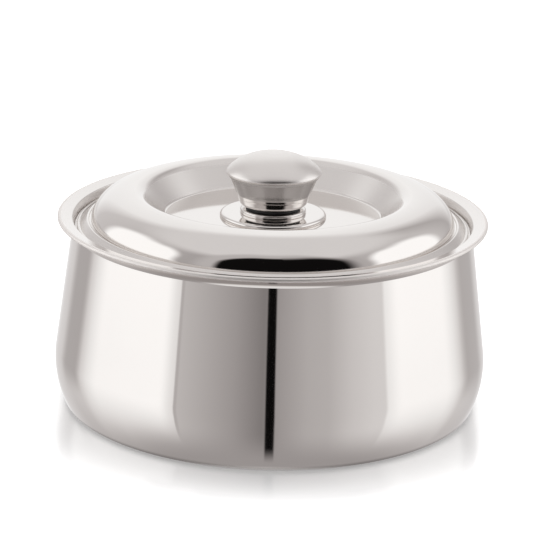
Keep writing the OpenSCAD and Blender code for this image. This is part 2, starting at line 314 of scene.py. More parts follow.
def value_group(name: str, inputs: tuple[str, ...], outputs: tuple[str, ...]) -> Tree:
    """Makes an empty shader node group whose sockets are plain values."""
    return new_group(name, "ShaderNodeTree", dict.fromkeys(inputs, "NodeSocketFloat"),
                     dict.fromkeys(outputs, "NodeSocketFloat"))


# ---- Turning ----


class Lathe:
    """Turns an outline about the Z axis with Geometry Nodes."""

    def __init__(self) -> None:
        """Builds the tree that every turned piece uses."""
        self.group = self._build()

    @staticmethod
    def _build() -> bpy.types.NodeTree:
        """Builds a grid with a column for each point of the outline and bends it round the axis.

        Returns:
            The finished tree.
        """
        tree = new_group(
            "turned_outline", "GeometryNodeTree",
            {"Outline": "NodeSocketGeometry", "Segments": "NodeSocketInt",
             "Weld": "NodeSocketFloat", "Finish": "NodeSocketMaterial"},
            {"Piece": "NodeSocketGeometry"})
        tree.tree.is_modifier = True
        given = tree.add("NodeGroupInput")
        size = tree.add("GeometryNodeAttributeDomainSize", {"Geometry": given["Outline"]},
                        component="MESH")
        rows = tree.math("ADD", given["Segments"], 1.0)
        grid = tree.add("GeometryNodeMeshGrid", {"Vertices X": size["Point Count"],
                                                 "Vertices Y": rows})
        index = tree.add("GeometryNodeInputIndex")["Index"]
        column = tree.math("FLOOR", tree.math("DIVIDE", tree.math("ADD", index, 0.5), rows))
        row = tree.math("SUBTRACT", index, tree.math("MULTIPLY", column, rows))
        angle = tree.math("MULTIPLY", row, tree.math("DIVIDE", math.tau, given["Segments"]))
        outline = tree.parts(tree.add("GeometryNodeSampleIndex", {
            "Geometry": given["Outline"], "Index": column,
            "Value": tree.add("GeometryNodeInputPosition")["Position"]},
            data_type="FLOAT_VECTOR", domain="POINT")["Value"])
        place = tree.vector(tree.math("MULTIPLY", outline["X"], tree.math("COSINE", angle)),
                            tree.math("MULTIPLY", outline["X"], tree.math("SINE", angle)),
                            outline["Z"])
        bent = tree.add("GeometryNodeSetPosition", {"Geometry": grid["Mesh"], "Position": place})
        welded = tree.add("GeometryNodeMergeByDistance", {"Geometry": bent["Geometry"],
                                                          "Distance": given["Weld"]})
        real = tree.add("GeometryNodeRealizeInstances", {"Geometry": welded["Geometry"]})
        dressed = tree.add("GeometryNodeSetMaterial", {"Geometry": real["Geometry"],
                                                       "Material": given["Finish"]})
        tree.add("NodeGroupOutput", {"Piece": dressed["Geometry"]})
        return tree.tree

    def turn(self, name: str, outline: Path, finish: bpy.types.Material) -> bpy.types.Object:
        """Turns one piece.

        Args:
            name: The piece's name.
            outline: Its half outline, closed unless both ends lie on the axis.
            finish: Its material.

        Returns:
            The piece as a plain mesh, closed, with its faces outwards.
        """
        on_axis = outline[0].x < WELD_DISTANCE and outline[-1].x < WELD_DISTANCE
        points = braced(outline if on_axis else [*outline, outline[0]])
        thread = bpy.data.meshes.new(f"{name}_outline")
        thread.from_pydata([(p.x, 0.0, p.y) for p in points],
                           [(i, i + 1) for i in range(len(points) - 1)], [])
        blank = in_scene(f"{name}_blank", thread)
        modifier = blank.modifiers.new("turn", "NODES")
        modifier.node_group = self.group
        for item, value in (("Segments", TURN_SEGMENTS), ("Weld", WELD_DISTANCE),
                            ("Finish", finish)):
            modifier[self.group.interface.items_tree[item].identifier] = value
        blank.update_tag()
        depsgraph = bpy.context.evaluated_depsgraph_get()
        mesh = bpy.data.meshes.new_from_object(blank.evaluated_get(depsgraph))
        mesh.name = name
        blank.modifiers.remove(modifier)
        bpy.data.objects.remove(blank)
        bpy.data.meshes.remove(thread)
        piece = in_scene(name, mesh)
        self._finish_mesh(mesh)
        return piece

    @staticmethod
    def _finish_mesh(mesh: bpy.types.Mesh) -> None:
        """Turns the faces outwards and shades them smooth, with crisp edges where the sheet ends.

        Args:
            mesh: The piece's mesh.
        """
        work = bmesh.new()
        work.from_mesh(mesh)
        bmesh.ops.dissolve_degenerate(work, dist=WELD_DISTANCE, edges=work.edges)
        bmesh.ops.recalc_face_normals(work, faces=work.faces)
        work.to_mesh(mesh)
        work.free()
        mesh.shade_smooth()
        mesh.set_sharp_from_angle(angle=math.radians(CREASE_ANGLE))


def in_scene(name: str, data: bpy.types.ID) -> bpy.types.Object:
    """Makes an object and puts it in the scene.

    Args:
        name: The object's name.
        data: Its mesh, camera or light.

    Returns:
        The object.
    """
    made = bpy.data.objects.new(name, data)
    bpy.context.scene.collection.objects.link(made)
    return made


# ---- Finishes ----


# The wipe marks: how their noise rises to a mask, and what sets the streaks off from the clouds.
CLOUD_RISE = (0.42, 0.72)
STREAK_RISE = (0.55, 0.75)
STREAK_SHAPE = {"Scale": (1.0, 1.0, 5.0), "Rotation": (0.5, 0.3, 0.0)}
STREAK_FINENESS = 22.0
STREAK_SHARE = 0.35

# The rings: how the coarse ones rise to a mask, their fineness, and the drift on their way round.
RING_RISE = (0.35, 0.65)
COARSE_RINGS = 0.13
RING_DRIFT = 0.01

# The finer part of the wobble, and the moulded skin's slow drift and where it tells.
FINER_WOBBLE = 2.7
FINER_SHARE = 0.25
SKIN_DRIFT = 0.2
SKIN_RISE = (0.2, 0.8)


@cache
def handling_marks() -> bpy.types.NodeTree:
    """Builds faint wipe marks and dust: soft clouds with a few short fine streaks in them.

    Returns:
        The group, which puts out a mask.
    """
    tree = value_group("handling_marks", ("Scale", "Amount"), ("Mask",))
    given = tree.add("NodeGroupInput")
    clouds = tree.spread(tree.noise(tree.place(), given["Scale"], detail=4.0), *CLOUD_RISE)
    slanted = tree.add("ShaderNodeMapping", {"Vector": tree.place(), **STREAK_SHAPE})["Vector"]
    fineness = tree.math("MULTIPLY", given["Scale"], STREAK_FINENESS)
    streaks = tree.spread(tree.noise(slanted, fineness, detail=2.0), *STREAK_RISE)
    both = tree.math("MULTIPLY_ADD", streaks, STREAK_SHARE, clouds)
    tree.add("NodeGroupOutput", {
        "Mask": tree.math("MULTIPLY", both, given["Amount"], clamp=True)})
    return tree.tree


@cache
def turning_rings() -> bpy.types.NodeTree:
    """Builds the fine rings that turning and buffing leave round the axis.

    Returns:
        The group, which puts out the rings' relief, a mask of the coarser ones, and the
        radius and height of the place.
    """
    tree = value_group("turning_rings", ("Fineness",), ("Relief", "Mask", "Radius", "Height"))
    fineness = tree.add("NodeGroupInput")["Fineness"]
    place = tree.parts(tree.place())
    radius = tree.length(place["X"], place["Y"])
    drift = tree.vector(tree.math("MULTIPLY", place["X"], RING_DRIFT),
                        tree.math("MULTIPLY", place["Y"], RING_DRIFT))
    where = tree.add("ShaderNodeVectorMath", {0: tree.vector(radius, place["Z"]), 1: drift},
                     operation="ADD")["Vector"]
    coarse = tree.noise(where, tree.math("MULTIPLY", fineness, COARSE_RINGS), detail=1.0)
    tree.add("NodeGroupOutput", {
        "Relief": tree.noise(where, fineness, detail=3.0, roughness=0.7),
        "Mask": tree.spread(coarse, *RING_RISE), "Radius": radius, "Height": place["Z"]})
    return tree.tree


@cache
def sheet_wobble() -> bpy.types.NodeTree:
    """Builds the slight unevenness of pressed sheet, which bends long reflections.

    Returns:
        The group, which puts out a height.
    """
    tree = value_group("sheet_wobble", ("Scale",), ("Height",))
    scale = tree.add("NodeGroupInput")["Scale"]
    finer = tree.noise(tree.place(), tree.math("MULTIPLY", scale, FINER_WOBBLE), detail=0.0)
    tree.add("NodeGroupOutput", {"Height": tree.math(
        "MULTIPLY_ADD", finer, FINER_SHARE, tree.noise(tree.place(), scale, detail=0.0))})
    return tree.tree


@cache
def moulded_skin() -> bpy.types.NodeTree:
    """Builds a cellular or moulded skin of small bumps with a little variation between them.

    Returns:
        The group, which puts out the bumps' height and a mask that differs from cell to cell.
    """
    tree = value_group("moulded_skin", ("Cells",), ("Height", "Mask"))
    count = tree.add("NodeGroupInput")["Cells"]
    cells = tree.add("ShaderNodeTexVoronoi", {"Vector": tree.place(), "Scale": count},
                     feature="SMOOTH_F1")
    drift = tree.noise(tree.place(), tree.math("MULTIPLY", count, SKIN_DRIFT), detail=3.0)
    tree.add("NodeGroupOutput", {"Height": cells["Distance"], "Mask": drift})
    return tree.tree


@dataclass(frozen=True)
class Zone:
    """A zone round the axis with a look of its own.

    Attributes:
        along: What tells it: "Radius" from the axis or "Height" above the floor.
        reach: Where it begins to show and where it shows in full, in millimetres.
        colour: Its base colour.
        roughness: Its roughness.
    """

    along: str
    reach: tuple[float, float]
    colour: Colour
    roughness: float


@dataclass(frozen=True)
class SteelFinish:
    """A steel surface.

    Attributes:
        name: The material's name.
        colours: Base colour of clean metal, and of metal that has been handled.
        roughnesses: Roughness of clean metal, and of metal that has been handled.
        marks_scale: Waves a metre of the handling marks.
        marks: How strongly those marks show.
        rings: Waves a metre of the turning rings.
        ring_depth: Depth of the rings.
        ring_roughness: Roughness that the coarser rings add.
        wobble_scale: Waves a metre of the sheet's unevenness.
        wobble_depth: Depth of that unevenness.
        zones: Zones with a look of their own.
    """

    name: str
    colours: tuple[Colour, Colour]
    roughnesses: tuple[float, float]
    marks_scale: float = 14.0
    marks: float = 0.5
    rings: float = 5000.0
    ring_depth: float = 0.0
    ring_roughness: float = 0.0
    wobble_scale: float = 16.0
    wobble_depth: float = 0.0
    zones: tuple[Zone, ...] = ()

    def material(self) -> bpy.types.Material:
        """Builds the material.

        Returns:
            The material.
        """
        material, tree, shader = new_material(self.name)
        marks = tree.group(handling_marks(), self.marks_scale, self.marks)["Mask"]
        rings = tree.group(turning_rings(), self.rings)
        wobble = tree.group(sheet_wobble(), self.wobble_scale)["Height"]
        colour = tree.mixed_colour(marks, *self.colours)
        handled = tree.spread(marks, 0.0, 1.0, *self.roughnesses)
        roughness = tree.math("MULTIPLY_ADD", rings["Mask"], self.ring_roughness, handled)
        for zone in self.zones:
            mask = tree.spread(rings[zone.along], *(MM * place for place in zone.reach))
            colour = tree.mixed_colour(mask, colour, zone.colour)
            roughness = tree.mix(mask, roughness, zone.roughness)
        fine = bump(tree, rings["Relief"], self.ring_depth)
        tree.fill(shader, {"Base Color": colour, "Roughness": roughness, "Metallic": 1.0,
                           "Normal": bump(tree, wobble, self.wobble_depth, Normal=fine)})
        return material


@dataclass(frozen=True)
class MouldedFinish:
    """A moulded plastic or foam surface.

    Attributes:
        name: The material's name.
        colours: Its main colour and the colour that it drifts to.
        roughness: Its roughness.
        cells: Cells a metre of its skin.
        depth: Depth of that skin.
        drift: How far the roughness differs from cell to cell, up and down.
    """

    name: str
    colours: tuple[Colour, Colour]
    roughness: float
    cells: float
    depth: float
    drift: float = 0.06

    def material(self) -> bpy.types.Material:
        """Builds the material.

        Returns:
            The material.
        """
        material, tree, shader = new_material(self.name)
        skin = tree.group(moulded_skin(), self.cells)
        tree.fill(shader, {
            "Base Color": tree.mixed_colour(skin["Mask"], *self.colours),
            "Roughness": tree.spread(skin["Mask"], *SKIN_RISE, self.roughness - self.drift,
                                     self.roughness + self.drift),
            "Normal": bump(tree, skin["Height"], self.depth)})
        return material


def new_material(name: str) -> tuple[bpy.types.Material, Tree, bpy.types.Node]:
    """Makes a material with a Principled BSDF.

    Args:
        name: The material's name.

    Returns:
        The material, its tree and its shader node.
    """
    material = bpy.data.materials.new(name)
    material.use_nodes = True
    return material, Tree(material.node_tree), material.node_tree.nodes["Principled BSDF"]


def bump(tree: Tree, height: Socket, depth: float, **below: Socket) -> Socket:
    """A normal bent by a height from 0 to 1 of a real depth, over any Normal bent before."""
    return tree.add("ShaderNodeBump", {"Height": height, "Distance": depth, **below})["Normal"]


def steel(level: float) -> Colour:
    """The slightly warm grey of the steel at a brightness."""
    return tuple(level * part for part in STEEL_TINT)


POLISHED_COLOURS = (steel(0.815), steel(0.785))

# Where each zone begins and is full, in millimetres from the axis, or above the floor for the
# heights of the body's foot and the cup's.
# Painted shade: the bottom few millimetres of the body are much darker, standing in for the contact
# shadow that the foot mirrors; they are also rougher.
FOOT_SHADE = (3.2, 1.0)
RECESS_WALL = (73.5, 70.5)
RECESS_FLOOR = (61.8, 61.0)
LID_EDGE = (103.0, 104.5)
# Painted shade: the collar and the plate next to it are a little darker, as in the corner between
# them; the collar is also rougher, as its own finish.
COLLAR_SHADE = (18.9, 18.5)
BOWL_LEDGE = (104.0, 106.0)
RIM_FLANGE = (111.4, 112.4)
# Painted highlight: the rolled rim is paler than the rest of the steel, as where it catches the light;
# its high roughness is its own finish.
RIM_ROLL_HIGHLIGHT = (117.6, 118.6)
CUP_FOOT = (119.2, 118.8)


class Finish(Enum):
    """Every finish on the casserole."""

    # The body's zone at its foot is painted shade.
    BODY = SteelFinish(
        "mirror_steel", POLISHED_COLOURS, (0.035, 0.075), marks=0.45, wobble_scale=14.0,
        wobble_depth=0.012 * MM, zones=(Zone("Height", FOOT_SHADE, steel(0.48), 0.25),))
    LID = SteelFinish(
        "mirror_steel_lid", POLISHED_COLOURS, (0.04, 0.085), wobble_scale=20.0,
        wobble_depth=0.006 * MM,
        zones=(Zone("Radius", RECESS_WALL, steel(0.80), 0.30),
               Zone("Radius", RECESS_FLOOR, steel(0.815), 0.06),
               Zone("Radius", LID_EDGE, steel(0.815), 0.26)))
    SEAT = SteelFinish(
        "mirror_steel_seat", POLISHED_COLOURS, (0.05, 0.09), rings=9000.0,
        ring_depth=0.0002 * MM,
        # The zone at the collar is painted shade.
        zones=(Zone("Radius", COLLAR_SHADE, steel(0.78), 0.13),))
    BOWL = SteelFinish(
        "turned_steel", (steel(0.805), steel(0.735)), (0.11, 0.19), marks=0.6, rings=4200.0,
        ring_depth=0.0015 * MM, ring_roughness=0.05, wobble_scale=14.0, wobble_depth=0.012 * MM,
        zones=(Zone("Radius", BOWL_LEDGE, steel(0.815), 0.26),
               Zone("Radius", RIM_FLANGE, steel(0.815), 0.12),
               # The rolled rim's paler colour is a painted highlight.
               Zone("Radius", RIM_ROLL_HIGHLIGHT, steel(0.95), 0.55)))
    # Painted shade: the cup's wall is much darker than the other steel, standing in for the dark
    # surroundings that it mirrors; its rounded foot keeps the steel's own colour and polish.
    CUP = SteelFinish(
        "shaded_brushed_cup_steel", (steel(0.53), steel(0.44)), (0.13, 0.20), marks=0.6, rings=9000.0,
        ring_depth=0.0004 * MM, ring_roughness=0.04,
        zones=(Zone("Height", CUP_FOOT, steel(0.83), 0.06),))
    CAP = SteelFinish(
        "satin_cap_steel", (steel(0.836), steel(0.775)), (0.30, 0.38), rings=11000.0,
        ring_depth=0.002 * MM, ring_roughness=0.05)
    ZINC = SteelFinish(
        "zinc_plate", ((0.62, 0.64, 0.66), (0.50, 0.51, 0.50)), (0.28, 0.42), marks_scale=120.0,
        marks=0.8, rings=6000.0, ring_depth=0.002 * MM, ring_roughness=0.05)
    PLASTIC = MouldedFinish("matt_black_plastic", ((0.022, 0.022, 0.023), (0.032, 0.032, 0.034)),
                            0.45, cells=2600.0, depth=0.012 * MM)
    FOAM = MouldedFinish("rigid_cream_foam", ((0.87, 0.77, 0.48), (0.93, 0.86, 0.62)),
                         0.85, cells=900.0, depth=0.25 * MM)


@dataclass(frozen=True)
class TurnedPiece:
    """A turned piece that stands for a solid of the frame.

    Attributes:
        name: The piece's name.
        outline: Its half outline.
        finish: Its finish.
        body: The body that it rides on.
        slot: The record's slot of the node that it stands for; not used.
        node: The node that it stands for.
    """

    name: str
    outline: Path
    finish: Finish
    body: Body
    slot: Slot
    node: str


class Workshop:
    """Turns the visible pieces and dresses the hidden ones."""

    INNER_FINISHES = {
        "base_plug": Finish.PLASTIC, "body_foam": Finish.FOAM, "lid_foam": Finish.FOAM,
        "knob_core": Finish.PLASTIC, "knob_stud": Finish.ZINC, "backing_washer": Finish.ZINC,
        "spring_washer": Finish.ZINC, "knob_nut": Finish.ZINC}

    def __init__(self) -> None:
        """Builds the lathe and every material."""
        self.lathe = Lathe()
        self.materials = {finish: finish.value.material() for finish in Finish}

    def turn(self, piece: TurnedPiece) -> None:
        """Turns a piece and fixes it to its body in place of its solid.

        Args:
            piece: What to turn.
        """
        made = self.lathe.turn(piece.name, piece.outline, self.materials[piece.finish])
        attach(made, piece.body.value)
        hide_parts(piece.node)
        LOG.info("turned %s for %s: %d faces", made.name, piece.node, len(made.data.polygons))

    def dress(self) -> None:
        """Gives each inner node, which keeps its solid, its finish."""
        for node, finish in self.INNER_FINISHES.items():
            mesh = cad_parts[node].data
            mesh.materials.clear()
            mesh.materials.append(self.materials[finish])
            LOG.info("dressed %s with %s", node, finish.value.name)


# ---- Body ----


@dataclass
class CasseroleBody:
    """The double-walled body: outer shell, bowl and rolled rim."""

    rim_r: float = 120.0 * MM
    rim_top_z: float = 106.9 * MM
    belly_z: float = 24.3 * MM
    belly_proud: float = 1.6 * MM
    belly_arc_r: float = 55.0 * MM
    foot_turn_r: float = 2.4 * MM
    foot_ring_w: float = 13.0 * MM
    base_dish: float = 1.2 * MM
    filler_r: float = 8.0 * MM
    neck_in: float = 8.1 * MM
    neck_drop: float = 7.7 * MM
    sheet_t: float = 0.5 * MM
    flare_turn: float = 37.0
    flare_end: float = 62.0
    rim_roll_r: float = 1.2 * MM
    roll_end: float = -95.0
    flange_w: float = 8.3 * MM
    flange_fall: float = 1.6 * MM
    ledge_depth: float = 6.9 * MM
    upper_wall_lean: float = 1.3 * MM
    ledge_w: float = 6.4 * MM
    bowl_taper: float = 4.0 * MM
    bowl_corner_r: float = 14.0 * MM
    bowl_floor_z: float = 13.0 * MM
    mouth_bend_r: float = 0.8 * MM
    ledge_bend_r: float = 0.6 * MM
    neck: Vector = field(init=False)
    roll_centre: Vector = field(init=False)
    ledge_z: float = field(init=False)
    bowl_mouth: Vector = field(init=False)
    ledge_outer: Vector = field(init=False)
    flange_inner: Vector = field(init=False)

    def __post_init__(self) -> None:
        """Works out the places that follow from the sizes."""
        self.neck = point(self.rim_r - self.neck_in, self.rim_top_z - self.neck_drop)
        self.roll_centre = point(self.rim_r - self.rim_roll_r, self.rim_top_z - self.rim_roll_r)
        self.ledge_z = self.rim_top_z - self.ledge_depth
        self.flange_inner = point(self.rim_r - self.flange_w, self.rim_top_z - self.flange_fall)
        self.ledge_outer = point(self.flange_inner.x - self.upper_wall_lean, self.ledge_z)
        self.bowl_mouth = self.ledge_outer - point(self.ledge_w, 0.0)

    def wall(self) -> Path:
        """Outside of the body, from the filler hole in its base up to the neck.

        Returns:
            Its points in order.
        """
        belly = point(self.rim_r + self.belly_proud - self.belly_arc_r, self.belly_z)
        to_neck = self.neck - belly
        wall_angle = math.degrees(math.atan2(to_neck.y, to_neck.x)
                                  - math.acos(self.belly_arc_r / to_neck.length))
        foot_reach = self.belly_arc_r - self.foot_turn_r
        foot_drop = self.belly_z - self.foot_turn_r
        foot = point(belly.x + math.sqrt(foot_reach ** 2 - foot_drop ** 2), self.foot_turn_r)
        foot_angle = math.degrees(math.atan2(foot.y - belly.y, foot.x - belly.x))
        foot_inner_r = foot.x - self.foot_ring_w
        return [point(self.filler_r, self.base_dish),
                point(foot_inner_r - self.base_dish, self.base_dish), point(foot_inner_r, 0.0),
                *arc(foot, self.foot_turn_r, -90.0, foot_angle),
                *arc(belly, self.belly_arc_r, foot_angle, wall_angle)]

    def flare(self) -> Path:
        """The hollow curve from the neck out to the rolled rim.

        Returns:
            Its points in order.
        """
        tip = self.roll_centre + self.sheet_t / 2 * polar(-self.flare_end)
        chord = tip - self.neck
        radius = chord.length / (2 * math.sin(math.radians(self.flare_turn / 2)))
        start = math.degrees(math.atan2(chord.x, chord.y)) - self.flare_turn / 2
        centre = self.neck + radius * polar(-start)
        return arc(centre, radius, 180.0 - start, 180.0 - start - self.flare_turn)

    def shell_outline(self) -> Path:
        """Outline of the outer shell."""
        return sheet(self.wall() + self.flare(), self.sheet_t)

    def bowl_outline(self) -> Path:
        """Outline of the bowl, its ledge, its flange and the rolled edge.

        Returns:
            Its points in order.
        """
        floor_edge = point(self.bowl_mouth.x - self.bowl_taper, self.bowl_floor_z)
        middle = point(0.0, self.bowl_floor_z)
        rise = math.atan2(self.flange_fall, self.roll_centre.x - self.flange_inner.x)
        onward = self.flange_inner + MM * point(math.cos(rise), math.sin(rise))
        path = [middle,
                *rounded(middle, floor_edge, self.bowl_mouth, self.bowl_corner_r),
                *rounded(floor_edge, self.bowl_mouth, self.ledge_outer, self.mouth_bend_r),
                *rounded(self.bowl_mouth, self.ledge_outer, self.flange_inner, self.ledge_bend_r),
                *rounded(self.ledge_outer, self.flange_inner, onward, self.mouth_bend_r),
                *arc(self.roll_centre, self.rim_roll_r, 90.0 + math.degrees(rise), self.roll_end)]
        return sheet(path, -self.sheet_t)

    def pieces(self) -> list[TurnedPiece]:
        """The shell and the bowl."""
        return [
            TurnedPiece("polished_shell", self.shell_outline(), Finish.BODY, Body.BASE,
                        Slot.POLISHED, "outer_shell"),
            TurnedPiece("rimmed_bowl", self.bowl_outline(), Finish.BOWL, Body.BASE, Slot.BOWL,
                        "inner_bowl")]


# ---- Lid ----


@dataclass
class CasseroleLid:
    """The lid's two sheets: the cover with its raised ring and sunken centre, and the pan."""

    body: CasseroleBody
    lid_gap: float = 1.1 * MM
    crown_r: float = 77.9 * MM
    crown_rise: float = 20.1 * MM
    ring_edge_rise: float = 1.95 * MM
    ring_foot_angle: float = 4.0
    crown_turn_r: float = 9.0 * MM
    recess_slope: float = 48.0
    recess_depth: float = 14.7 * MM
    recess_turn_r: float = 2.0 * MM
    ridge_r: float = 0.9 * MM
    ridge_in: float = 6.0 * MM
    ridge_lift: float = 0.1 * MM
    valley_w: float = 0.8 * MM
    seam_gap: float = 0.1 * MM
    stud_hole_r: float = 3.25 * MM
    crimp_w: float = 1.8 * MM
    crimp_lip_w: float = 0.6 * MM
    pan_depth: float = 10.0 * MM
    pan_gap: float = 1.8 * MM
    pan_taper: float = 0.8 * MM
    pan_corner_r: float = 4.0 * MM
    pan_bend_r: float = 0.4 * MM
    sheet_t: float = field(init=False)
    lid_r: float = field(init=False)
    crown_z: float = field(init=False)
    recess_z: float = field(init=False)
    crimp_r: float = field(init=False)
    crimp_centre: Vector = field(init=False)

    def __post_init__(self) -> None:
        """Works out the places that follow from the sizes."""
        ledge_z = self.body.ledge_z
        self.sheet_t = self.body.sheet_t
        self.lid_r = self.body.ledge_outer.x - self.lid_gap
        self.crown_z = ledge_z + self.crown_rise
        self.recess_z = self.crown_z - self.recess_depth
        self.crimp_r = (3 * self.sheet_t + 2 * self.seam_gap) / 2
        self.crimp_centre = point(self.lid_r - self.crimp_r, ledge_z + self.crimp_r)

    def ring(self) -> Path:
        """Outer side of the raised ring, a quarter of an oval, from its crown to its foot.

        Returns:
            Its points in order.
        """
        centre = point(self.crown_r, self.body.ledge_z + self.ring_edge_rise)
        rise = self.crown_rise - self.ring_edge_rise
        foot_r = self.lid_r - self.ridge_in - self.ridge_r - self.valley_w
        width = (foot_r - self.crown_r) / math.cos(math.radians(self.ring_foot_angle))
        steps = math.ceil((90.0 - self.ring_foot_angle) / ARC_STEP)
        turned = [polar(90.0 - (90.0 - self.ring_foot_angle) * i / steps) for i in range(1, steps + 1)]
        return [centre + point(width * t.x, rise * t.y) for t in turned]

    def cover_outline(self) -> Path:
        """Outline of the lid's cover.

        Returns:
            Its points in order.
        """
        slope = math.radians(self.recess_slope)
        wall_top = point(self.crown_r - self.crown_turn_r * math.sin(slope),
                         self.crown_z - self.crown_turn_r * (1 - math.cos(slope)))
        corner = point(wall_top.x - (wall_top.y - self.recess_z) / math.tan(slope), self.recess_z)
        crown = point(self.crown_r, self.crown_z - self.crown_turn_r)
        ring = self.ring()
        ridge = ring[-1] + point(self.valley_w + self.ridge_r, self.ridge_lift)
        edge_z = self.body.ledge_z + 2 * self.sheet_t + self.seam_gap
        skirt_foot = point(self.lid_r - self.crimp_w, edge_z)
        to_foot = skirt_foot - ridge
        skirt_angle = math.degrees(math.atan2(to_foot.y, to_foot.x)
                                   + math.acos(self.ridge_r / to_foot.length))
        path = [point(self.stud_hole_r, self.recess_z),
                *rounded(point(0.0, self.recess_z), corner, wall_top, self.recess_turn_r),
                *arc(crown, self.crown_turn_r, 90.0 + self.recess_slope, 90.0),
                *ring,
                *arc(ridge, self.ridge_r, 180.0, skirt_angle),
                skirt_foot, point(self.crimp_centre.x, edge_z)]
        return sheet(path, -self.sheet_t)

    def pan_outline(self) -> Path:
        """Outline of the lid's lower pan, with the edge that is folded over the cover's.

        Returns:
            Its points in order.
        """
        ledge_z = self.body.ledge_z
        pan_r = self.body.bowl_mouth.x - self.pan_gap
        pan_z = ledge_z - self.pan_depth
        middle = point(0.0, pan_z)
        corner = point(pan_r - self.pan_taper, pan_z)
        top = point(pan_r, ledge_z)
        path = [middle,
                *rounded(middle, corner, top, self.pan_corner_r),
                *rounded(corner, top, point(self.lid_r, ledge_z), self.pan_bend_r),
                *arc(self.crimp_centre, self.crimp_r, -90.0, 90.0),
                self.crimp_centre + point(-self.crimp_lip_w, self.crimp_r)]
        return sheet(path, self.sheet_t)

    def pieces(self) -> list[TurnedPiece]:
        """The cover and the pan."""
        return [
            TurnedPiece("lid_dome", self.cover_outline(), Finish.LID, Body.LID, Slot.POLISHED,
                        "lid_cover"),
            TurnedPiece("lid_pan", self.pan_outline(), Finish.BOWL, Body.LID, Slot.BOWL,
                        "lid_liner")]


# ---- Knob ----


